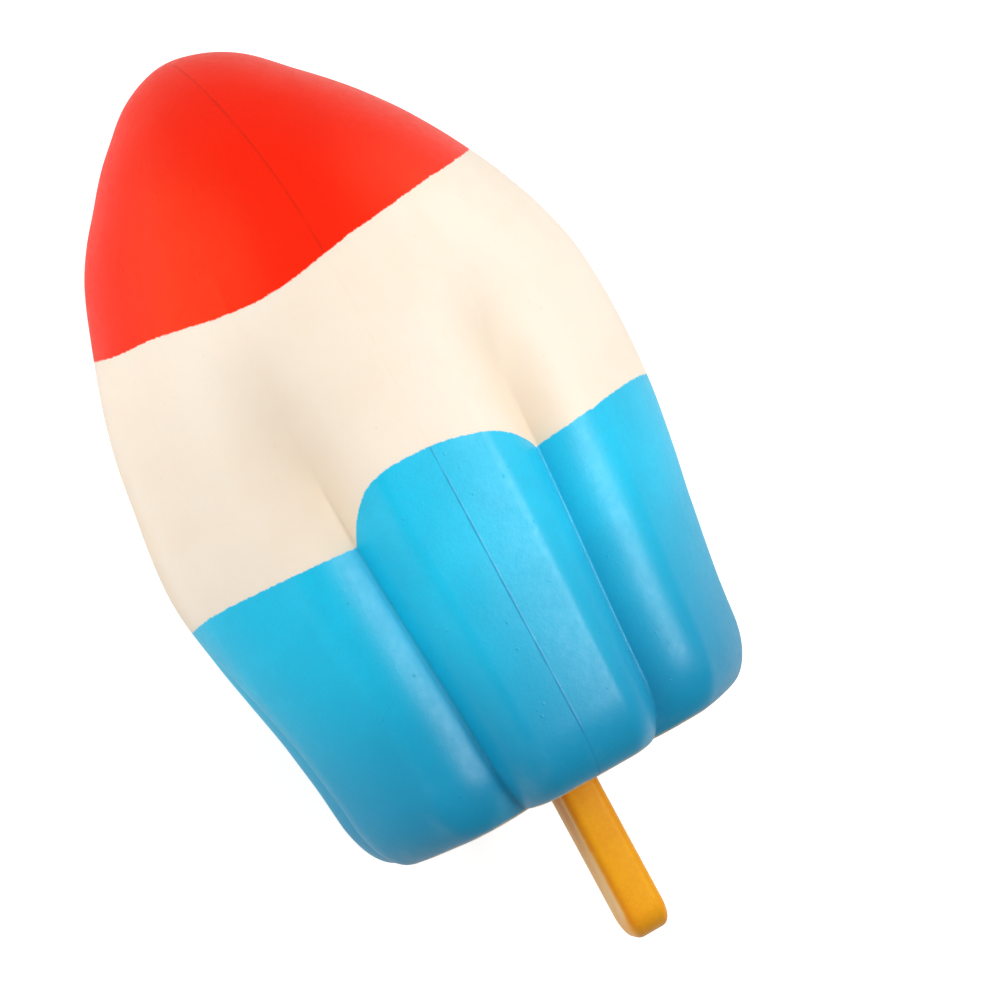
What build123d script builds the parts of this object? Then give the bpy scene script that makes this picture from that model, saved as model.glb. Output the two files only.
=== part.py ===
from build123d import *
import math
import os

# A giant soft foam squeeze toy in the shape of a rocket ice lolly, lying on its side.
# The body runs along X with its nose at +X, the stick leaves the base towards -X,
# one lobe faces up (+Z) and the opposite lobe rests on the table at z = 0.

# --- driving dimensions, mm ---
body_length = 256.0  # base face to nose tip
belly_half_width = 79.0  # widest place, across Y
base_half_width = 68.0  # at the base
half_depth = 61.0  # from the axis up or down to a lobe's crest
nose_run_width = 135.0  # behind the tip, where the full width is reached
nose_run_depth = 115.0  # behind the tip, where the full depth is reached
nose_bluntness = 0.62  # 0.5 is a round dome, more is more pointed
tip_flat = 1.5  # length cut off the very tip

red_length = 71.0  # tip to the red and cream border
cream_length = 84.0  # red border to the blue border
skin = 0.8  # thickness of the painted skin

side_lobe_angle = 63.0  # degrees covered by each of the four side lobes
crest_rise = 0.06  # how far a crest is flattened: 0 is a round body
shoulder = 0.45  # share of a lobe's half that is crest before it rolls over
crease_start = 12.0  # behind the tip, where the grooves begin
crease_depth = 2.5  # fine crease over the nose
flute_depth = 14.0  # deep flute from the cream band to the base
flute_start = 94.0  # behind the tip
flute_full = 145.0  # behind the tip
base_round_length = 20.0  # the base's edge rolls over along this length
base_round_drop = 12.0  # and sinks by this much at the base face

stick_reach = 56.0  # past the base face
stick_width = 22.0
stick_thickness = 13.5
stick_edge_radius = 3.0
stick_end_radius = 8.0
stick_paint = 0.6
stick_flex_angle = 25.0  # degrees each way
socket_clearance = 0.3

# --- places worked out from them ---
total_length = body_length - tip_flat + stick_reach
base_x = stick_reach - total_length / 2
tip_x = base_x + body_length
red_border_x = tip_x - red_length
blue_border_x = red_border_x - cream_length
axis_height = half_depth
heel_radius = stick_thickness / 2
flex_x = base_x - heel_radius * math.sin(math.radians(stick_flex_angle + 2))
stick_end_x = base_x - stick_reach
top_lobe_angle = 180.0 - 2 * side_lobe_angle

barrel_length = body_length - base_round_length - nose_run_width
barrel_shares = [0.93, 0.7, 0.4, 0.18]
base_shares = [1, 0.9, 0.7, 0.4, 0]
nose_shares = [1, 0.83, 0.67, 0.52, 0.39, 0.28, 0.18, 0.1, 0.045]
stations = [body_length - base_round_length * (1 - share) for share in base_shares]
stations += [nose_run_width + barrel_length * share for share in barrel_shares]
stations += [nose_run_width * share for share in nose_shares]
lobe_shares = [-1, -0.8, -0.45, 0, 0.45, 0.8, 1]


def ease(value, start, end):
    """0 before start, 1 after end, and smooth between them."""
    share = min(max((value - start) / (end - start), 0), 1)
    return share * share * (3 - 2 * share)


def dome(behind_tip, run):
    """The share of the full size that the nose has reached behind its tip."""
    ahead = 1 - min(behind_tip / run, 1)
    return (1 - ahead * ahead) ** nose_bluntness


def half_width_at(behind_tip):
    narrowing = ease(behind_tip, nose_run_width, body_length)
    full = belly_half_width + (base_half_width - belly_half_width) * narrowing
    return full * dome(behind_tip, nose_run_width)


def half_depth_at(behind_tip):
    return half_depth * dome(behind_tip, nose_run_depth)


def groove_depth_at(behind_tip):
    crease = crease_depth * ease(behind_tip, crease_start, red_length)
    flute = (flute_depth - crease_depth) * ease(behind_tip, flute_start, flute_full)
    return crease + flute


def base_roll_at(behind_tip):
    """How far the skin has sunk where it rolls over into the base face."""
    along = 1 - (body_length - behind_tip) / base_round_length
    return base_round_drop * (1 - math.sqrt(1 - min(max(along, 0), 1) ** 2))


def lobes():
    """Each lobe's middle and half span in degrees, from +Z towards +Y."""
    middles = [0, 90 - side_lobe_angle / 2, 90 + side_lobe_angle / 2, 180]
    middles += [270 - side_lobe_angle / 2, 270 + side_lobe_angle / 2]
    return [
        (middle, (top_lobe_angle if middle % 180 == 0 else side_lobe_angle) / 2)
        for middle in middles
    ]


def outline_point(behind_tip, lobe, share, inset):
    """A point of the body's outline in (Y, Z) from the axis; share runs -1 to 1 across a lobe."""
    middle, half_span = lobe
    angle = math.radians(middle + share * half_span)
    roll_over = max((abs(share) - shoulder) / (1 - shoulder), 0) ** 1.6
    swell = 1 + crest_rise * share * share * dome(behind_tip, nose_run_width)
    sunk = groove_depth_at(behind_tip) * roll_over + base_roll_at(behind_tip) + inset
    across = half_width_at(behind_tip) * swell - sunk
    up = half_depth_at(behind_tip) * swell - sunk
    return (across * math.sin(angle), up * math.cos(angle))


def body_section(behind_tip, inset):
    """One six-lobed cross-section of the body, on the plane behind_tip back from the nose."""
    plane = Plane(
        origin=(tip_x - behind_tip, 0, axis_height), x_dir=(0, 1, 0), z_dir=(1, 0, 0)
    )
    with BuildSketch(plane) as section:
        with BuildLine():
            for lobe in lobes():
                Spline([outline_point(behind_tip, lobe, s, inset) for s in lobe_shares])
        make_face()
    return section.sketch


def body_solid(inset):
    """The whole body, sunk by inset all round and at the tip."""
    with BuildPart() as body:
        sections = [body_section(t, inset) for t in [*stations, tip_flat + inset]]
        loft(sections)
    return body.part


def stick_bar(inset):
    """The stick's bar, sunk by inset all round, ending at its flex axis."""
    long_plane = Plane(origin=(0, 0, axis_height), x_dir=(1, 0, 0), z_dir=(0, -1, 0))
    end_x = stick_end_x + inset
    spare = 2 * heel_radius  # cut off again at the flex axis
    bar_length = flex_x + spare - end_x
    with BuildPart() as bar:
        with BuildSketch(long_plane):
            with Locations((end_x + bar_length / 2, 0)):
                Rectangle(bar_length, stick_width - 2 * inset)
            fillet(vertices().group_by(Axis.X)[0], stick_end_radius - inset)
        extrude(amount=heel_radius - inset, both=True)
        sides = faces().filter_by(Axis.Y)
        fillet(sides.edges(), stick_edge_radius - inset)
        split(bisect_by=Plane.YZ.offset(flex_x), keep=Keep.BOTTOM)
    return bar.part


outer_body = body_solid(0)
inner_body = body_solid(skin)
red_border = Plane.YZ.offset(red_border_x)
blue_border = Plane.YZ.offset(blue_border_x)
rim_start = Plane.YZ.offset(base_x + base_round_length)
base_inside = Plane.YZ.offset(base_x + skin)
flex_axis_plane = Plane(origin=(flex_x, 0, axis_height))

# --- the foam core, in the three stretches that move apart when the toy is bent ---
with BuildPart() as nose_core:
    add(inner_body)
    split(bisect_by=red_border, keep=Keep.TOP)

with BuildPart() as middle_core:
    add(inner_body)
    split(bisect_by=red_border, keep=Keep.BOTTOM)
    split(bisect_by=blue_border, keep=Keep.TOP)

with BuildPart() as stick_socket:
    with BuildSketch(flex_axis_plane.offset(-stick_width / 2 - socket_clearance)):
        Circle(heel_radius + socket_clearance)
    extrude(amount=stick_width + 2 * socket_clearance)

with BuildPart() as lower_core:
    add(inner_body)
    split(bisect_by=blue_border, keep=Keep.BOTTOM)
    split(bisect_by=base_inside, keep=Keep.TOP)
    add(stick_socket.part, mode=Mode.SUBTRACT)

# --- the painted and bare skins ---
with BuildPart() as red_nose_skin:
    add(outer_body)
    split(bisect_by=red_border, keep=Keep.TOP)
    add(nose_core.part, mode=Mode.SUBTRACT)

with BuildPart() as cream_middle_skin:
    add(outer_body)
    split(bisect_by=red_border, keep=Keep.BOTTOM)
    split(bisect_by=blue_border, keep=Keep.TOP)
    add(middle_core.part, mode=Mode.SUBTRACT)

with BuildPart() as inside_lower_barrel:
    add(inner_body)
    split(bisect_by=blue_border, keep=Keep.BOTTOM)
    split(bisect_by=rim_start, keep=Keep.TOP)

with BuildPart() as inside_base_rim:
    add(inner_body)
    split(bisect_by=rim_start, keep=Keep.BOTTOM)

with BuildPart() as blue_lower_skin:
    add(outer_body)
    split(bisect_by=blue_border, keep=Keep.BOTTOM)
    add(inside_lower_barrel.part, mode=Mode.SUBTRACT)
    add(inside_base_rim.part, mode=Mode.SUBTRACT)

with BuildPart() as base_skin:
    add(inner_body)
    split(bisect_by=base_inside, keep=Keep.BOTTOM)
    add(stick_socket.part, mode=Mode.SUBTRACT)

# --- the stick, whose round heel turns in the socket as the bar flexes ---
with BuildPart() as stick_heel:
    with BuildSketch(flex_axis_plane.offset(-stick_width / 2)):
        Circle(heel_radius)
    extrude(amount=stick_width)
    split(bisect_by=Plane.YZ.offset(flex_x), keep=Keep.TOP)

with BuildPart() as stick_core:
    add(stick_bar(stick_paint))
    add(stick_heel.part)

with BuildPart() as stick_paint_film:
    add(stick_bar(0))
    add(stick_bar(stick_paint), mode=Mode.SUBTRACT)

pieces = {
    "nose_core": nose_core,
    "middle_core": middle_core,
    "lower_core": lower_core,
    "red_nose_skin": red_nose_skin,
    "cream_middle_skin": cream_middle_skin,
    "blue_lower_skin": blue_lower_skin,
    "base_skin": base_skin,
    "stick_core": stick_core,
    "stick_paint_film": stick_paint_film,
}

os.makedirs("parts", exist_ok=True)
for name, piece in pieces.items():
    piece.part.label = name
    export_step(piece.part, f"parts/{name}.step")
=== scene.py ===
import math

import bpy
import numpy as np
from mathutils import Matrix, Vector, noise


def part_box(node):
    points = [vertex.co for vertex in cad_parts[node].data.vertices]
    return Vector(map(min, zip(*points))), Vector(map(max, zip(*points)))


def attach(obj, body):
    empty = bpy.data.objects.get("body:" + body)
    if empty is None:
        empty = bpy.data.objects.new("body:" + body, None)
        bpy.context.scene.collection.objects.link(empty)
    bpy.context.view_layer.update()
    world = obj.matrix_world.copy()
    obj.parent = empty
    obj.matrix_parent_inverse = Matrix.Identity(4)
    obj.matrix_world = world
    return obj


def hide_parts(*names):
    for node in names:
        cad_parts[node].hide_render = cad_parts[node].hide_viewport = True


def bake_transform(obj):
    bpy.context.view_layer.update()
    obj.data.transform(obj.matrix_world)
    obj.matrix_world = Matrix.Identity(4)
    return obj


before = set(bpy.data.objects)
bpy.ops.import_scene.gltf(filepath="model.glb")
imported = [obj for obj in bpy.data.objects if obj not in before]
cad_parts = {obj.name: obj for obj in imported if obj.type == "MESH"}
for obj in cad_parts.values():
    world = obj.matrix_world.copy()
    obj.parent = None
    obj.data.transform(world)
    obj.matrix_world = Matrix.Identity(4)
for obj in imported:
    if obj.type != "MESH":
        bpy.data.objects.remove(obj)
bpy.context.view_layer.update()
MM = 0.001

# --- places and sizes from the frame ---
red_low, red_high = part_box("red_nose_skin")
cream_low, cream_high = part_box("cream_middle_skin")
blue_low, blue_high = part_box("blue_lower_skin")
stick_low, stick_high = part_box("stick_paint_film")
base_x = blue_low[0]
tip_x = red_high[0]
body_length = tip_x - base_x
axis_height = (stick_low[2] + stick_high[2]) / 2
half_depth = cream_high[2] - axis_height
red_line = tip_x - red_low[0]
blue_line = tip_x - cream_low[0]

# --- the body's outline ---
belly_half_width = 79 * MM
base_half_width = 68 * MM
nose_run_width = 135 * MM
nose_run_depth = 115 * MM
nose_bluntness = 0.62
tip_rounding = 4 * MM
side_lobe_angle = math.radians(63)
crest_rise = 0.06
shoulder = 0.45
flute_depth = 14 * MM
base_round_length = 20 * MM
base_round_drop = 12 * MM
nose_lean = 5 * MM
lean_run = 70 * MM  # behind the tip, where the lean has died away
unevenness = 0.35 * MM
floor_clearance = 0.2 * MM

# --- the stick's outline ---
stick_root = 10 * MM  # how far the visible bar runs into the body
stick_end_radius = 8 * MM
stick_edge_radius = 3.2 * MM
stick_end_roll = 1.45  # the free end rolls over this much more than the long edges

# --- how finely the skin is meshed ---
ring_step = 1.5 * MM
rim_steps = 20
blue_rim_steps = 18  # the blue paint ends on this ring of the rim
face_shares = (0.93, 0.8, 0.62, 0.42, 0.22, 0.08)  # rings of the flat base face
columns_per_lobe = 50
border_reach = 24 * MM  # how far from a paint border the rings are pulled towards it


def ease(value, start, end):
    share = np.clip((value - start) / (end - start), 0, 1)
    return share * share * (3 - 2 * share)


def dome(behind_tip, run):
    """The share of its full size that the nose has reached behind its tip."""
    ahead = 1 - np.clip(behind_tip / run, 0, 1)
    blunter = (behind_tip + tip_rounding) / np.maximum(behind_tip, 1e-6)
    return (1 - ahead * ahead) ** nose_bluntness * blunter ** (nose_bluntness - 0.5)


def half_width_at(behind_tip):
    narrowing = ease(behind_tip, nose_run_width, body_length)
    full = belly_half_width + (base_half_width - belly_half_width) * narrowing
    return full * dome(behind_tip, nose_run_width)


def half_depth_at(behind_tip):
    return half_depth * dome(behind_tip, nose_run_depth)


def groove_depth_at(behind_tip):
    crease = 0.07 * ease(behind_tip, 30 * MM, 90 * MM)
    flute = 0.93 * ease(behind_tip, 80 * MM, 152 * MM)
    return flute_depth * (crease + flute)


def lobe_columns():
    """Every column's angle from +Z towards +Y, and its share from -1 to 1 across its own lobe."""
    top = math.pi - 2 * side_lobe_angle
    spans = [top, side_lobe_angle, side_lobe_angle, top, side_lobe_angle, side_lobe_angle]
    steps = np.arange(columns_per_lobe) / columns_per_lobe * 2 - 1
    shares = 0.45 * steps + 0.55 * np.sin(steps * math.pi / 2)
    angles, start = [], -top / 2
    for span in spans:
        angles.append(start + span * (shares + 1) / 2)
        start += span
    return np.concatenate(angles), np.tile(shares, len(spans))


angles, shares = lobe_columns()


def roll_over_at(behind_tip, share):
    """0 on a lobe's crest, 1 in the groove: a soft valley near the nose, a sharp one lower down."""
    across = np.clip((np.abs(share) - shoulder) / (1 - shoulder), 0, None)
    soft = across**2 * (3 - 2 * across)
    sharp = across**1.6
    return soft + (sharp - soft) * ease(behind_tip, 110 * MM, 165 * MM)


def pinch_at(behind_tip):
    """How much narrower the nose is than an even dome: not the same on its +Y and -Y sides."""

    def pinch(depth, start, full, easing, gone):
        grown = ease(behind_tip, start * MM, full * MM)
        return depth * MM * grown * (1 - ease(behind_tip, easing * MM, gone * MM))

    plus_y = pinch(1.7, 4, 15, 28, 50) + pinch(3.4, 35, 80, 110, 160)
    minus_y = pinch(5.6, 2, 22, 35, 115)
    side = np.sin(angles)
    return np.where(side < 0, minus_y, plus_y) * np.abs(side) ** 1.5


def body_points(behind_tip, sunk=0.0):
    """Points of the body's skin for a grid of distances behind the tip, one column per angle."""
    # The sides are full and round down to the blue paint, where the groove along each starts.
    full_side = np.abs(np.sin(angles)) ** 4 * (1 - 0.70 * ease(behind_tip, 140 * MM, 245 * MM))
    flattened = ease(behind_tip, 45 * MM, 125 * MM) * (1 - full_side)
    rise = 1 - (1 - shares**2) * flattened
    swell = 1 + crest_rise * rise * np.clip(dome(behind_tip, nose_run_width), 0, 1)
    groove = groove_depth_at(behind_tip) * (1 - full_side)
    inset = groove * roll_over_at(behind_tip, shares) + sunk
    across = np.maximum(half_width_at(behind_tip) * swell - inset - pinch_at(behind_tip), 0)
    up = np.maximum(half_depth_at(behind_tip) * swell - inset, 0)
    aside = nose_lean * np.clip(1 - behind_tip / lean_run, 0, 1) ** 2
    return np.stack(
        [tip_x - behind_tip, across * np.sin(angles) + aside, axis_height + up * np.cos(angles)],
        axis=-1,
    )


def wander(seed, waves, size):
    """A gentle uneven line round the body, made of a few waves."""
    total = np.zeros_like(angles)
    for n, wave in enumerate(waves):
        total += np.sin(wave * angles + seed + 1.7 * n) / (1 + 0.5 * n)
    return total * size / len(waves)


def turn_from_top():
    """Every column's angle from +Z, from minus to plus half a turn."""
    return (angles + math.pi) % (2 * math.pi) - math.pi


def red_border():
    """How far behind the tip the red paint ends, for each column."""
    turn = turn_from_top()
    bow = 6 * MM * np.cos(turn) + 3 * MM * np.sin(turn) - 0.5 * MM
    dip = 5 * MM * np.exp(-(((turn - math.radians(18)) / math.radians(22)) ** 2))
    return red_line + bow + dip + wander(0.6, (3, 5, 8, 13), 0.8 * MM)


def blue_border():
    """How far behind the tip the blue paint starts: an arch on top, nearly straight elsewhere."""
    turn = turn_from_top()
    on_top = np.abs(turn) < math.pi / 2 - side_lobe_angle + 1e-6
    from_peak = (-shares + 0.3) / np.where(shares > 0.3, -0.7, 1.3)
    top_arch = 16.5 * MM * (1 - np.clip(np.abs(from_peak), 0, 1) ** 2.3)
    side_arch = 2.5 * MM * np.cos(shares * math.pi / 2)
    tilt = 1.25 * MM * np.sin(turn) + 5.25 * MM
    arch = np.where(on_top, top_arch, side_arch)
    return blue_line + tilt - arch + wander(2.1, (2, 5, 9, 14), 0.7 * MM)


def ring_places():
    """Distances behind the tip, even along the skin, with a ring on each paint border."""
    fine = np.linspace(0, 1, 4000) ** 2 * body_length
    width = half_width_at(fine)
    along = np.concatenate([[0], np.cumsum(np.hypot(np.diff(fine), np.diff(width)))])
    places = []
    ends = np.interp([red_line, blue_line, body_length - base_round_length], fine, along)
    start = along[3]
    for end in ends:
        count = max(int(round((end - start) / ring_step)), 2)
        places.append(np.interp(np.linspace(start, end, count + 1), along, fine))
        start = end
    rings = np.concatenate([places[0], places[1][1:], places[2][1:]])
    return rings, len(places[0]) - 1, len(places[0]) + len(places[1]) - 2


rings, red_ring, blue_ring = ring_places()


def pulled_to_borders():
    """The grid of distances behind the tip, with two rings pulled onto the paint borders."""
    grid = np.repeat(rings[:, None], len(angles), axis=1)
    for line, border in ((red_line, red_border()), (blue_line, blue_border())):
        near = np.clip(1 - np.abs(rings - line) / border_reach, 0, 1)
        near = near * near * (3 - 2 * near)
        grid += near[:, None] * (border - line)[None, :]
    return grid


def rim_points():
    """The base's rounded edge and flat face, ring by ring towards the middle."""
    rows, places = [], []
    for step in range(1, rim_steps + 1):
        turn = step / rim_steps * math.pi / 2
        back = base_round_length * math.sin(turn)
        sunk = base_round_drop * (1 - math.cos(turn))
        behind = np.full(len(angles), body_length - base_round_length + back)
        rows.append(body_points(behind, sunk))
        places.append(behind)
    rim = rows[-1]
    centre = np.array([base_x, 0, axis_height])
    for share in face_shares:
        row = centre + (rim - centre) * share
        row[:, 0] = base_x
        rows.append(row)
        places.append(np.full(len(angles), body_length))
    return rows, places


def uneven(points, normals):
    """Soft foam is never quite even: a slow swell along the normals."""
    moved = points.copy()
    for n, (point, normal) in enumerate(zip(points, normals)):
        slow = noise.noise(Vector(point) * 26)
        finer = noise.noise(Vector(point) * 70 + Vector((3, 1, 7)))
        moved[n] = point + normal * (slow + 0.45 * finer) * unevenness
    return moved


def grid_faces(last_row, columns):
    """Quads between rows of a grid that closes round the body."""
    faces = []
    for row in range(last_row):
        a, b = row * columns, (row + 1) * columns
        for column in range(columns):
            after = (column + 1) % columns
            faces.append((a + column, b + column, b + after, a + after))
    return faces


def vertex_normals(points, faces):
    mesh = bpy.data.meshes.new("whole_body")
    mesh.from_pydata(points.tolist(), [], faces)
    mesh.update()
    normals = np.zeros(len(points) * 3)
    mesh.vertices.foreach_get("normal", normals)
    bpy.data.meshes.remove(mesh)
    return normals.reshape(-1, 3)


class Body:
    """The whole skin as one grid, which is then cut into its painted stretches."""

    def __init__(self):
        self.columns = len(angles)
        places = list(pulled_to_borders())
        rows = [body_points(place) for place in places]
        self.rim_row = len(rows) - 1
        rim_rows, rim_places = rim_points()
        rows += rim_rows
        places += rim_places
        self.rows = len(rows)
        points = np.concatenate(rows)
        behind = np.concatenate(places)
        faces = grid_faces(self.rows - 1, self.columns)
        points = uneven(points, vertex_normals(points, faces))
        points[:, 2] = np.maximum(points[:, 2], floor_clearance)
        self.points = points
        self.behind = behind
        self.normals = vertex_normals(points, faces)
        # Each column's angle from the mould seam, which runs along the top and bottom crests.
        self.seam = np.tile(np.abs(np.arcsin(np.sin(angles))), self.rows)
        # How deep each point lies in a flute; the cream skin uses this for painted shade in the
        # hollows.
        roll_over = roll_over_at(behind, np.tile(shares, self.rows))
        self.painted_flute_shade = groove_depth_at(behind) * roll_over / flute_depth
        self.red_border = np.tile(red_border(), self.rows)
        self.blue_border = np.tile(blue_border(), self.rows)

    def stretch(self, name, first_row, last_row):
        """One closed piece of the body: its skin from one ring to another, and flat ends."""
        n = self.columns
        part = slice(first_row * n, (last_row + 1) * n)
        points = self.points[part]
        rows = last_row - first_row
        faces = grid_faces(rows, n)
        ends = []
        for row, flip in ((0, False), (rows, True)):
            ring = list(range(row * n, row * n + n))
            ends.append(points[ring].mean(axis=0))
            middle = len(points) + len(ends) - 1
            for column in range(n):
                a, b = ring[column], ring[(column + 1) % n]
                faces.append((middle, b, a) if flip else (middle, a, b))
        mesh = bpy.data.meshes.new(name)
        mesh.from_pydata(np.vstack([points, ends]).tolist(), [], faces)
        mesh.update()
        mesh.polygons.foreach_set("use_smooth", [True] * len(mesh.polygons))
        end_normals = [(1, 0, 0), (-1, 0, 0)]
        normals = np.vstack([self.normals[part], end_normals])
        mesh.normals_split_custom_set_from_vertices(normals.tolist())
        piece = bpy.data.objects.new(name, mesh)
        bpy.context.scene.collection.objects.link(piece)
        behind = self.behind[part]
        radius = np.hypot(points[:, 1], points[:, 2] - axis_height)
        store(mesh, "past_red", (behind - self.red_border[part]) / MM, 2)
        store(mesh, "past_blue", (behind - self.blue_border[part]) / MM, 2)
        store(mesh, "from_seam", self.seam[part] * radius / MM, 2)
        store(mesh, "painted_flute_shade", self.painted_flute_shade[part], 2)
        store(mesh, "from_base", (body_length - behind) / MM, 2)
        keep_places(mesh)
        return piece


def store(mesh, name, values, spare=0):
    """Keeps a number for each vertex, with zeros for the spare ones at the end."""
    attribute = mesh.attributes.new(name, "FLOAT", "POINT")
    padded = np.concatenate([values, np.zeros(spare)])
    attribute.data.foreach_set("value", padded.astype(np.float32))


def keep_places(mesh):
    """Keeps where each vertex is at rest, so that grain stays on the skin as it bends."""
    places = np.array([v.co for v in mesh.vertices], np.float32).ravel()
    attribute = mesh.attributes.new("rest_place", "FLOAT_VECTOR", "POINT")
    attribute.data.foreach_set("vector", places)


# --- the stick ---
def rounded_outline(half_length, half_height, radius, inset):
    """A rectangle's outline in (X, Z) with two rounded corners at its free end, inset all round."""
    corner = max(radius - inset, 0.1 * MM)
    left, top = -half_length + stick_end_roll * inset, half_height - inset
    points = []
    for side in np.linspace(-1, 1, 12):
        points.append((half_length, side * top))
    for t in np.linspace(0, 1, 28)[1:]:
        points.append((half_length + (left + corner - half_length) * t, top))
    for turn in np.linspace(0, math.pi / 2, 12)[1:]:
        points.append((left + corner * (1 - math.sin(turn)), top - corner * (1 - math.cos(turn))))
    for side in np.linspace(1, -1, 8)[1:]:
        points.append((left, side * (top - corner)))
    for turn in np.linspace(0, math.pi / 2, 12)[1:]:
        points.append((left + corner * (1 - math.cos(turn)), corner * (1 - math.sin(turn)) - top))
    for t in np.linspace(0, 1, 28)[1:-1]:
        points.append((left + corner + (half_length - left - corner) * t, -top))
    return points


def stick_bar(name):
    """The flat bar of the stick, its long edges rolled over, its root sunk in the body."""
    end_x, root_x = stick_low[0], base_x + stick_root
    half_length = (root_x - end_x) / 2
    half_height = (stick_high[2] - stick_low[2]) / 2
    half_thickness = (stick_high[1] - stick_low[1]) / 2
    half = []
    for turn in np.linspace(0, math.pi / 2, 8):
        inset = stick_edge_radius * (1 - math.sin(turn))
        half.append((inset, half_thickness - stick_edge_radius * (1 - math.cos(turn))))
    stack = [(inset, -y) for inset, y in half] + [(inset, y) for inset, y in reversed(half)]
    points, faces = [], []
    for inset, y in stack:
        for x, z in rounded_outline(half_length, half_height, stick_end_radius, inset):
            points.append(((end_x + root_x) / 2 + x, y, axis_height + z))
    n = len(points) // len(stack)
    for layer in range(len(stack) - 1):
        for k in range(n):
            a, b = layer * n + k, layer * n + (k + 1) % n
            faces.append((a, b, b + n, a + n))
    faces.append(tuple(range(n))[::-1])
    faces.append(tuple(range(len(points) - n, len(points))))
    mesh = bpy.data.meshes.new(name)
    mesh.from_pydata(points, [], faces)
    mesh.update()
    mesh.polygons.foreach_set("use_smooth", [True] * len(mesh.polygons))
    piece = bpy.data.objects.new(name, mesh)
    bpy.context.scene.collection.objects.link(piece)
    return piece


# --- materials ---
def new_group(name, inputs, outputs):
    """An empty node group with named sockets; inputs are (name, kind, value)."""
    group = bpy.data.node_groups.new(name, "ShaderNodeTree")
    for label, kind, value in inputs:
        socket = group.interface.new_socket(label, in_out="INPUT", socket_type=kind)
        if value is not None:
            socket.default_value = value
    for label, kind in outputs:
        group.interface.new_socket(label, in_out="OUTPUT", socket_type=kind)
    return group, group.nodes.new("NodeGroupInput"), group.nodes.new("NodeGroupOutput")


class Nodes:
    """Short ways to add and join nodes in one tree."""

    def __init__(self, tree):
        self.tree = tree

    def add(self, kind, **values):
        node = self.tree.nodes.new(kind)
        for key, value in values.items():
            setattr(node, key, value)
        return node

    def join(self, source, target):
        self.tree.links.new(source, target)

    def feed(self, socket, value):
        """Joins a socket to another, or sets it to a plain value."""
        if isinstance(value, bpy.types.NodeSocket):
            self.join(value, socket)
        else:
            socket.default_value = value

    def math(self, operation, a, b=0.0, clamp=False):
        node = self.add("ShaderNodeMath", operation=operation, use_clamp=clamp)
        self.feed(node.inputs[0], a)
        self.feed(node.inputs[1], b)
        return node.outputs[0]

    def noise(self, place, scale, detail=3.0, roughness=0.55):
        node = self.add("ShaderNodeTexNoise")
        self.join(place, node.inputs["Vector"])
        self.feed(node.inputs["Scale"], scale)
        node.inputs["Detail"].default_value = detail
        node.inputs["Roughness"].default_value = roughness
        return node.outputs["Fac"]

    def steps(self, value, low, high, to_low=0.0, to_high=1.0):
        """value from low to high becomes to_low to to_high, smoothly."""
        node = self.add("ShaderNodeMapRange", interpolation_type="SMOOTHSTEP")
        self.feed(node.inputs["Value"], value)
        for socket, number in zip(list(node.inputs)[1:5], (low, high, to_low, to_high)):
            self.feed(socket, number)
        return node.outputs[0]

    def mix(self, share, a, b, blend="MIX"):
        node = self.add("ShaderNodeMix", data_type="RGBA", blend_type=blend)
        self.feed(node.inputs["Factor"], share)
        self.feed(node.inputs[6], a)
        self.feed(node.inputs[7], b)
        return node.outputs[2]

    def attribute(self, name):
        return self.add("ShaderNodeAttribute", attribute_name=name)


def grain_group():
    """Fine pores, slow mottling and a matching bump, for painted and bare foam skin."""
    group, inside, outside = new_group(
        "foam_skin_grain",
        [
            ("Place", "NodeSocketVector", None),
            ("Color", "NodeSocketColor", (1, 1, 1, 1)),
            ("Shade", "NodeSocketColor", (0.5, 0.5, 0.5, 1)),
            ("Grain", "NodeSocketFloat", 0.1),
            ("Mottle", "NodeSocketFloat", 0.1),
            ("Pores", "NodeSocketFloat", 0.1),
            ("Base Roughness", "NodeSocketFloat", 0.45),
        ],
        [
            ("Color", "NodeSocketColor"),
            ("Roughness", "NodeSocketFloat"),
            ("Height", "NodeSocketFloat"),
        ],
    )
    n = Nodes(group)
    place = inside.outputs["Place"]
    fine = n.noise(place, 1400.0, 2.0)
    medium = n.noise(place, 420.0, 4.0, 0.6)
    slow = n.noise(place, 34.0, 4.0, 0.6)
    pore_cells = n.add("ShaderNodeTexVoronoi", feature="F1")
    n.join(place, pore_cells.inputs["Vector"])
    pore_cells.inputs["Scale"].default_value = 330.0
    pore = n.steps(pore_cells.outputs["Distance"], 0.10, 0.20, 1.0, 0.0)
    sparse = n.steps(n.noise(place, 130.0, 2.0), 0.56, 0.66)
    pore = n.math("MULTIPLY", pore, sparse)
    grains = n.steps(n.math("ADD", fine, n.math("MULTIPLY", medium, 0.6)), 0.6, 1.05)
    grain = n.math("MULTIPLY", grains, inside.outputs["Grain"])
    mottle = n.math("MULTIPLY", n.steps(slow, 0.35, 0.68), inside.outputs["Mottle"])
    pitted = n.math("MULTIPLY", pore, inside.outputs["Pores"])
    share = n.math("ADD", n.math("ADD", grain, mottle), pitted, clamp=True)
    n.join(n.mix(share, inside.outputs["Color"], inside.outputs["Shade"]), outside.inputs["Color"])
    rougher = n.math("MULTIPLY", n.math("SUBTRACT", medium, 0.5), 0.25)
    n.join(n.math("ADD", inside.outputs["Base Roughness"], rougher), outside.inputs["Roughness"])
    height = n.math("ADD", n.math("MULTIPLY", fine, 0.5), n.math("MULTIPLY", medium, 0.7))
    height = n.math("SUBTRACT", height, n.math("MULTIPLY", pore, 1.2))
    n.join(height, outside.inputs["Height"])
    return group


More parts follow.
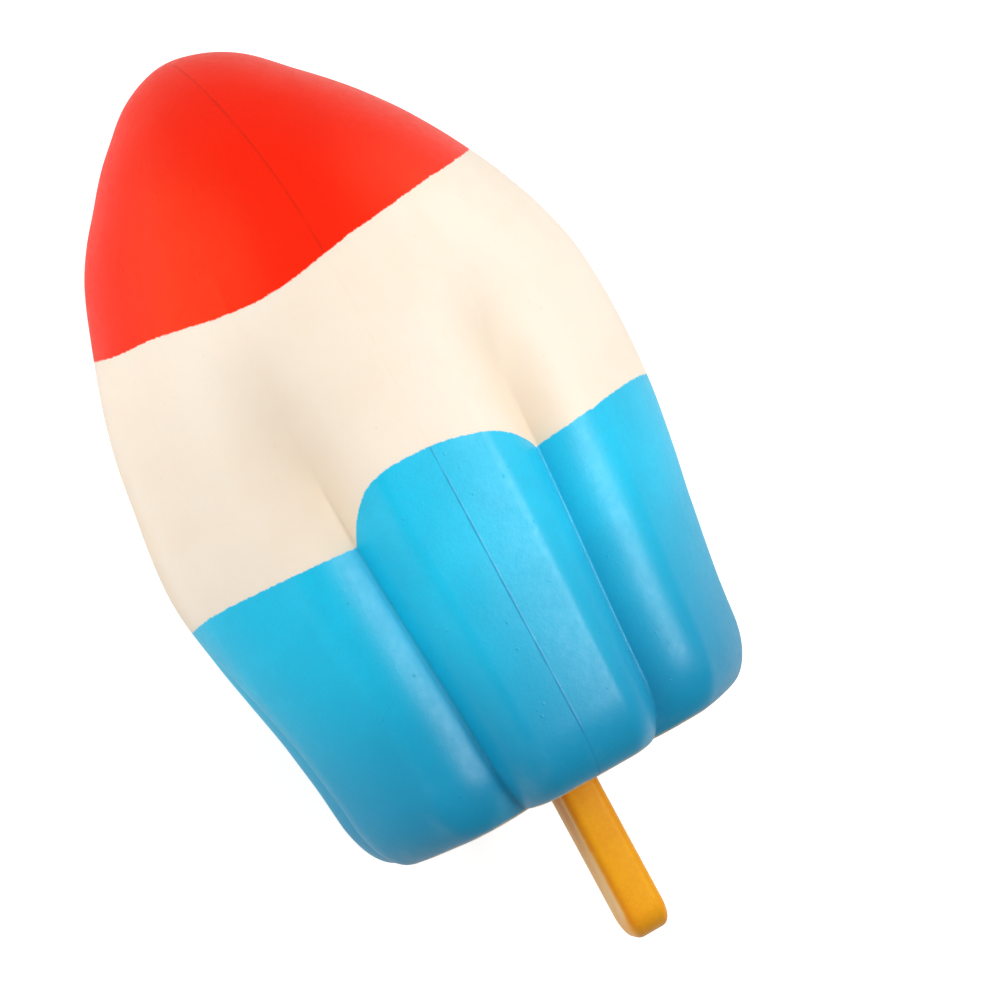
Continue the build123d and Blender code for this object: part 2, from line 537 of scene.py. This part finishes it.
def edge_group():
    """How much of a sprayed coat covers the skin, by how many mm a point is past its edge."""
    group, inside, outside = new_group(
        "sprayed_edge",
        [
            ("Place", "NodeSocketVector", None),
            ("Past", "NodeSocketFloat", 0.0),
            ("Fuzz", "NodeSocketFloat", 0.5),
        ],
        [("Cover", "NodeSocketFloat")],
    )
    n = Nodes(group)
    ragged = n.math("SUBTRACT", n.noise(inside.outputs["Place"], 620.0, 3.0, 0.7), 0.5)
    slow = n.math("SUBTRACT", n.noise(inside.outputs["Place"], 160.0, 2.0), 0.5)
    wobble = n.math("ADD", n.math("MULTIPLY", ragged, 1.4), n.math("MULTIPLY", slow, 0.8))
    moved = n.math("MULTIPLY", wobble, inside.outputs["Fuzz"])
    past = n.math("ADD", inside.outputs["Past"], moved)
    n.join(n.steps(past, -0.25, 0.25), outside.inputs["Cover"])
    return group


def seam_group():
    """The fine line that the two halves of the mould leave, which comes and goes."""
    group, inside, outside = new_group(
        "mould_seam",
        [
            ("Place", "NodeSocketVector", None),
            ("Away", "NodeSocketFloat", 5.0),
            ("Width", "NodeSocketFloat", 0.3),
        ],
        [("Line", "NodeSocketFloat")],
    )
    n = Nodes(group)
    drift = n.math("SUBTRACT", n.noise(inside.outputs["Place"], 90.0, 2.0), 0.5)
    drift = n.math("MULTIPLY", drift, 0.5)
    away = n.math("ABSOLUTE", n.math("ADD", inside.outputs["Away"], drift))
    line = n.steps(away, 0.0, inside.outputs["Width"], 1.0, 0.0)
    broken = n.steps(n.noise(inside.outputs["Place"], 120.0, 2.0), 0.3, 0.55, 0.35, 1.0)
    n.join(n.math("MULTIPLY", line, broken), outside.inputs["Line"])
    return group


GRAIN, EDGE, SEAM = grain_group(), edge_group(), seam_group()

RED = (0.93, 0.013, 0.003, 1)
RED_SHADE = (0.84, 0.008, 0.002, 1)
CREAM = (0.90, 0.785, 0.655, 1)
CREAM_SHADE = (0.84, 0.685, 0.50, 1)
BLUE = (0.004, 0.55, 0.83, 1)
BLUE_SHADE = (0.002, 0.41, 0.65, 1)
# Painted shade: the deep blue that the blue paint darkens to towards the base.
BLUE_PAINTED_SHADE = (0.001, 0.21, 0.40, 1)
BLUE_GREY_PATCH = (0.06, 0.33, 0.52, 1)
FOAM = (0.88, 0.77, 0.58, 1)
ORANGE = (0.95, 0.43, 0.009, 1)
ORANGE_DEEP = (0.78, 0.22, 0.010, 1)
THIN_ORANGE = (0.96, 0.56, 0.18, 1)
RED_SEAM = (0.50, 0.008, 0.004, 1)
BLUE_SEAM = (0.002, 0.13, 0.34, 1)
WORN_RIM = (0.62, 0.50, 0.26, 1)


class Finish(Nodes):
    """One skin's material: a plain Principled shader with its colour, roughness and bump fed in."""

    def __init__(self, name):
        material = bpy.data.materials.new(name)
        material.use_nodes = True
        super().__init__(material.node_tree)
        self.material = material
        self.shader = self.tree.nodes["Principled BSDF"]
        self.place = self.attribute("rest_place").outputs["Vector"]

    def group(self, group, **values):
        node = self.add("ShaderNodeGroup", node_tree=group)
        for key, value in values.items():
            self.feed(node.inputs[key.replace("_", " ")], value)
        return node

    def grain(self, color, shade, grain, mottle, pores, rough):
        return self.group(
            GRAIN,
            Place=self.place,
            Color=color,
            Shade=shade,
            Grain=grain,
            Mottle=mottle,
            Pores=pores,
            Base_Roughness=rough,
        )

    def cover(self, past, fuzz):
        return self.group(EDGE, Place=self.place, Past=past, Fuzz=fuzz).outputs["Cover"]

    def seam(self, width):
        away = self.attribute("from_seam").outputs["Fac"]
        return self.group(SEAM, Place=self.place, Away=away, Width=width).outputs["Line"]

    def finish(self, color, roughness, height, depth):
        self.feed(self.shader.inputs["Base Color"], color)
        self.feed(self.shader.inputs["Roughness"], roughness)
        bump = self.add("ShaderNodeBump")
        bump.inputs["Strength"].default_value = 0.6
        bump.inputs["Distance"].default_value = depth
        self.feed(bump.inputs["Height"], height)
        self.join(bump.outputs["Normal"], self.shader.inputs["Normal"])
        return self.material


def soft_touch(shader, tint=(1, 1, 1, 1), sheen=0.05):
    """The faint velvety edge light of a rubbery paint film."""
    shader.inputs["IOR"].default_value = 1.48
    shader.inputs["Specular Tint"].default_value = tint
    shader.inputs["Sheen Weight"].default_value = sheen
    shader.inputs["Sheen Roughness"].default_value = 0.45
    shader.inputs["Sheen Tint"].default_value = tint


def red_paint():
    f = Finish("red_paint_film")
    past = f.attribute("past_red").outputs["Fac"]
    coat = f.grain(RED, RED_SHADE, 0.28, 0.30, 0.30, 0.44)
    cover = f.math("SUBTRACT", 1.0, f.cover(past, 0.8))
    seam = f.math("MULTIPLY", f.seam(0.55), 0.45)
    color = f.mix(seam, coat.outputs["Color"], RED_SEAM)
    color = f.mix(cover, CREAM, color)
    height = f.math("SUBTRACT", coat.outputs["Height"], f.math("MULTIPLY", seam, 1.4))
    soft_touch(f.shader, tint=(1.0, 0.5, 0.15, 1))
    return f.finish(color, coat.outputs["Roughness"], height, 0.00010)


def cream_skin():
    f = Finish("cream_foam_skin")
    bare = f.grain(CREAM, CREAM_SHADE, 0.10, 0.22, 0.35, 0.48)
    red = f.math("SUBTRACT", 1.0, f.cover(f.attribute("past_red").outputs["Fac"], 0.8))
    blue = f.cover(f.attribute("past_blue").outputs["Fac"], 0.8)
    # Painted shade: the cream darkens towards a warmer shade colour down in the flutes.
    painted_flute_shade = f.math("MULTIPLY", f.steps(f.attribute("painted_flute_shade").outputs["Fac"], 0.05, 0.9), 0.6)
    color = f.mix(painted_flute_shade, bare.outputs["Color"], CREAM_SHADE)
    color = f.mix(f.math("MULTIPLY", f.seam(0.4), 0.22), color, CREAM_SHADE)
    color = f.mix(red, color, RED)
    color = f.mix(blue, color, BLUE)
    soft_touch(f.shader)
    f.shader.inputs["Subsurface Weight"].default_value = 0.12
    f.shader.inputs["Subsurface Radius"].default_value = (1.0, 0.7, 0.45)
    f.shader.inputs["Subsurface Scale"].default_value = 0.004
    return f.finish(color, bare.outputs["Roughness"], bare.outputs["Height"], 0.00006)


def blue_paint():
    f = Finish("blue_paint_film")
    coat = f.grain(BLUE, BLUE_SHADE, 0.22, 0.35, 0.40, 0.38)
    from_base = f.attribute("from_base").outputs["Fac"]
    # Greyer blue in random patches within 26 mm of the base.
    near_base = f.steps(from_base, 3.0, 26.0, 1.0, 0.0)
    # Painted shade: the blue darkens over the last 85 mm before the base.
    painted_base_shade = f.steps(from_base, 5.0, 85.0, 0.8, 0.0)
    patchy = f.steps(f.noise(f.place, 45.0, 4.0, 0.6), 0.42, 0.66)
    grey_patches = f.math("MULTIPLY", f.math("MULTIPLY", near_base, patchy), 0.6)
    color = f.mix(painted_base_shade, coat.outputs["Color"], BLUE_PAINTED_SHADE)
    color = f.mix(grey_patches, color, BLUE_GREY_PATCH)
    seam = f.math("MULTIPLY", f.seam(0.45), 0.55)
    color = f.mix(seam, color, BLUE_SEAM)
    worn = f.steps(from_base, 0.3, 1.1, 1.0, 0.0)
    uneven_wear = f.steps(f.noise(f.place, 300.0, 4.0, 0.7), 0.35, 0.6, 0.4, 1.0)
    color = f.mix(f.math("MULTIPLY", worn, uneven_wear), color, WORN_RIM)
    cover = f.cover(f.attribute("past_blue").outputs["Fac"], 0.8)
    color = f.mix(cover, CREAM, color)
    height = f.math("SUBTRACT", coat.outputs["Height"], f.math("MULTIPLY", seam, 1.6))
    soft_touch(f.shader, tint=(0.8, 0.95, 1.0, 1))
    return f.finish(color, coat.outputs["Roughness"], height, 0.00010)


def bare_base():
    f = Finish("bare_base_foam")
    bare = f.grain(FOAM, CREAM_SHADE, 0.25, 0.40, 0.6, 0.6)
    split = f.add("ShaderNodeSeparateXYZ")
    f.join(f.place, split.inputs[0])
    across = split.outputs["Y"]
    up = f.math("MULTIPLY", f.math("SUBTRACT", split.outputs["Z"], axis_height), 0.72)
    squares = f.math("ADD", f.math("MULTIPLY", across, across), f.math("MULTIPLY", up, up))
    drift = f.math("SUBTRACT", f.noise(f.place, 110.0, 5.0, 0.65), 0.5)
    away = f.math("ADD", f.math("SQRT", squares), f.math("MULTIPLY", drift, 0.012))
    mist = f.math("MULTIPLY", f.steps(away, 0.010, 0.026, 1.0, 0.0), 0.85)
    color = f.mix(mist, bare.outputs["Color"], ORANGE)
    speckled = f.math("ADD", away, f.math("MULTIPLY", f.noise(f.place, 500.0, 3.0), 0.004))
    blue = f.steps(speckled, 0.050, 0.064)
    color = f.mix(f.math("MULTIPLY", blue, 0.35), color, BLUE)
    soft_touch(f.shader)
    return f.finish(color, bare.outputs["Roughness"], bare.outputs["Height"], 0.00012)


def orange_paint():
    f = Finish("orange_paint_film")
    coat = f.grain(ORANGE, ORANGE_DEEP, 0.22, 0.30, 0.35, 0.40)
    film = f.attribute("film").outputs["Fac"]
    thin = f.grain(THIN_ORANGE, FOAM, 0.15, 0.22, 0.3, 0.46)
    patches = f.math("SUBTRACT", f.noise(f.place, 240.0, 4.0), 0.5)
    uneven_film = f.math("ADD", film, f.math("MULTIPLY", patches, 0.35))
    color = f.mix(f.steps(uneven_film, 0.15, 0.75), thin.outputs["Color"], coat.outputs["Color"])
    # Darker along the long edges, plus painted shadow on the root where the body shades it.
    dark_arris_and_root_shadow = f.attribute("dark_arris_and_root_shadow").outputs["Fac"]
    runs = f.steps(f.noise(f.place, 120.0, 3.0), 0.3, 0.6, 0.5, 1.0)
    dark_arris_and_root_shadow = f.math("MULTIPLY", dark_arris_and_root_shadow, runs)
    color = f.mix(dark_arris_and_root_shadow, color, ORANGE_DEEP)
    soft_touch(f.shader, tint=(1.0, 0.75, 0.3, 1))
    return f.finish(color, coat.outputs["Roughness"], coat.outputs["Height"], 0.00010)


def stick_film(piece):
    """Where the stick's paint is full (its two edges) or thin (its flat sides), where it is darker
    along its long edges, and where the body's shadow is painted on its root.
    """
    mesh = piece.data
    half_thickness = (stick_high[1] - stick_low[1]) / 2
    half_height = (stick_high[2] - stick_low[2]) / 2
    film, dark_arris_and_root_shadow = [], []
    for vertex in mesh.vertices:
        y = abs(vertex.co.y) / half_thickness
        z = abs(vertex.co.z - axis_height) / half_height
        # Painted shadow: the stick darkens within 6 mm of the body's base, under the body.
        root = float(ease(vertex.co.x, base_x - 6 * MM, base_x))
        end = float(ease(stick_low[0] + 12 * MM - vertex.co.x, 0, 8 * MM))
        thinned = 1 - 0.3 * float(ease(y, 0.75, 1.0))
        film.append(float(ease(z, 0.60, 0.97)) * thinned + 0.6 * end)
        # Darker along the long edges, weaker on the -Y side than on the +Y side.
        side = 1.0 if vertex.co.y > 0 else 0.3
        arris = side * math.exp(-(((y - 0.84) / 0.10) ** 2)) * float(ease(z, 0.70, 0.95))
        dark_arris_and_root_shadow.append(min(0.75 * arris + 0.8 * root, 1.0))
    store(mesh, "film", np.array(film))
    store(mesh, "dark_arris_and_root_shadow", np.array(dark_arris_and_root_shadow))
    keep_places(mesh)


# --- the studio ---
def white_floor():
    """A pale floor, a little brighter to the camera than the light makes it."""
    material = bpy.data.materials.new("studio_floor")
    material.use_nodes = True
    n = Nodes(material.node_tree)
    shader = material.node_tree.nodes["Principled BSDF"]
    shader.inputs["Base Color"].default_value = (0.86, 0.86, 0.86, 1)
    shader.inputs["Roughness"].default_value = 0.9
    shader.inputs["Specular IOR Level"].default_value = 0.1
    path = n.add("ShaderNodeLightPath")
    shader.inputs["Emission Color"].default_value = (1, 1, 1, 1)
    lift = n.math("MULTIPLY", path.outputs["Is Camera Ray"], 0.60)
    n.join(lift, shader.inputs["Emission Strength"])
    mesh = bpy.data.meshes.new("floor")
    reach = 6.0
    corners = [(-reach, -reach, 0), (reach, -reach, 0), (reach, reach, 0), (-reach, reach, 0)]
    mesh.from_pydata(corners, [], [(0, 1, 2, 3)])
    floor = bpy.data.objects.new("floor", mesh)
    floor.data.materials.append(material)
    bpy.context.scene.collection.objects.link(floor)


# The camera looks down on the toy, turned a little about its length, with the nose up to the left.
look_roll = math.radians(11)
nose_towards_camera = math.radians(2)
lean = math.radians(28.3)
camera_distance = 1.25
view_width = 0.3125


def camera_axes():
    """The camera's right, up and back directions in the row frame."""
    back = Vector((0, math.sin(look_roll), math.cos(look_roll)))
    aside = Vector((0, -math.cos(look_roll), math.sin(look_roll)))
    nose = Vector((1, 0, 0))
    along = nose * math.cos(nose_towards_camera) - back * math.sin(nose_towards_camera)
    back = back * math.cos(nose_towards_camera) + nose * math.sin(nose_towards_camera)
    right = aside * math.cos(lean) - along * math.sin(lean)
    up = aside * math.sin(lean) + along * math.cos(lean)
    return right, up, back


def place_camera():
    """Puts the camera in place, and says what it looks at."""
    right, up, back = camera_axes()
    middle = Vector((0, 0, axis_height))
    target = middle + right * 0.0263 - up * 0.0014
    data = bpy.data.cameras.new("camera")
    data.sensor_width = 36
    data.lens = data.sensor_width * camera_distance / view_width
    data.clip_end = 50
    camera = bpy.data.objects.new("camera", data)
    turn = Matrix((right, up, back)).transposed().to_4x4()
    camera.matrix_world = Matrix.Translation(target + back * camera_distance) @ turn
    bpy.context.scene.collection.objects.link(camera)
    bpy.context.scene.camera = camera
    return target


def softbox(name, target, direction, along, distance, width, length, power):
    """A rectangular softbox facing the target, its long side along the given direction."""
    data = bpy.data.lights.new(name, "AREA")
    data.shape = "RECTANGLE"
    data.size = width
    data.size_y = length
    data.energy = power
    lamp = bpy.data.objects.new(name, data)
    back = direction.normalized()
    aside = along.cross(back).normalized()
    turn = Matrix((aside, back.cross(aside), back)).transposed().to_4x4()
    lamp.matrix_world = Matrix.Translation(target + back * distance) @ turn
    bpy.context.scene.collection.objects.link(lamp)


def light_studio(target):
    """Three plain softboxes and an even white world, which shows white to the camera."""
    right, up, back = camera_axes()
    front = right * 0.56 + up * 0.16 + back * 0.80
    top_right = right * 0.80 + up * 0.95 + back * 0.25
    left = right * -0.90 + up * 0.15 + back * 0.60
    softbox("front_softbox", target, front, up, 0.50, 0.20, 0.20, 1.22)
    softbox("right_softbox", target, top_right, up, 0.90, 0.45, 0.60, 3.0)
    softbox("left_softbox", target, left, up, 1.05, 1.10, 1.10, 9.0)
    world = bpy.data.worlds.new("studio_world")
    world.use_nodes = True
    n = Nodes(world.node_tree)
    shade = world.node_tree.nodes["Background"]
    shade.inputs["Color"].default_value = (1, 1, 1, 1)
    path = n.add("ShaderNodeLightPath")
    n.join(n.math("MAXIMUM", path.outputs["Is Camera Ray"], 0.30), shade.inputs["Strength"])
    bpy.context.scene.world = world
    bpy.context.scene.view_settings.view_transform = "Standard"


# --- put together ---
body = Body()
red_nose = body.stretch("red_nose", 0, red_ring)
cream_band = body.stretch("cream_band", red_ring, blue_ring)
blue_band = body.stretch("blue_band", blue_ring, body.rim_row + blue_rim_steps)
base_face = body.stretch("base_face", body.rim_row + blue_rim_steps, body.rows - 1)
stick = stick_bar("stick")
stick_film(stick)

for piece, material in (
    (red_nose, red_paint()),
    (cream_band, cream_skin()),
    (blue_band, blue_paint()),
    (base_face, bare_base()),
    (stick, orange_paint()),
):
    piece.data.materials.append(material)

# band_start marks the top of the blue arch; the nose and the cream band are baked in place and do
# not bend here.
band_start = Vector((tip_x - blue_border().min(), 0, axis_height))
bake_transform(red_nose)
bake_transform(cream_band)
Vector((tip_x - blue_border().max(), 0, axis_height))
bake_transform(blue_band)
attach(base_face, "base")
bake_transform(stick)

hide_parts("nose_core", "red_nose_skin")
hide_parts("middle_core", "cream_middle_skin")
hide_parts("lower_core", "blue_lower_skin")
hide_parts("base_skin")
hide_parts("stick_core", "stick_paint_film")

white_floor()
light_studio(place_camera())
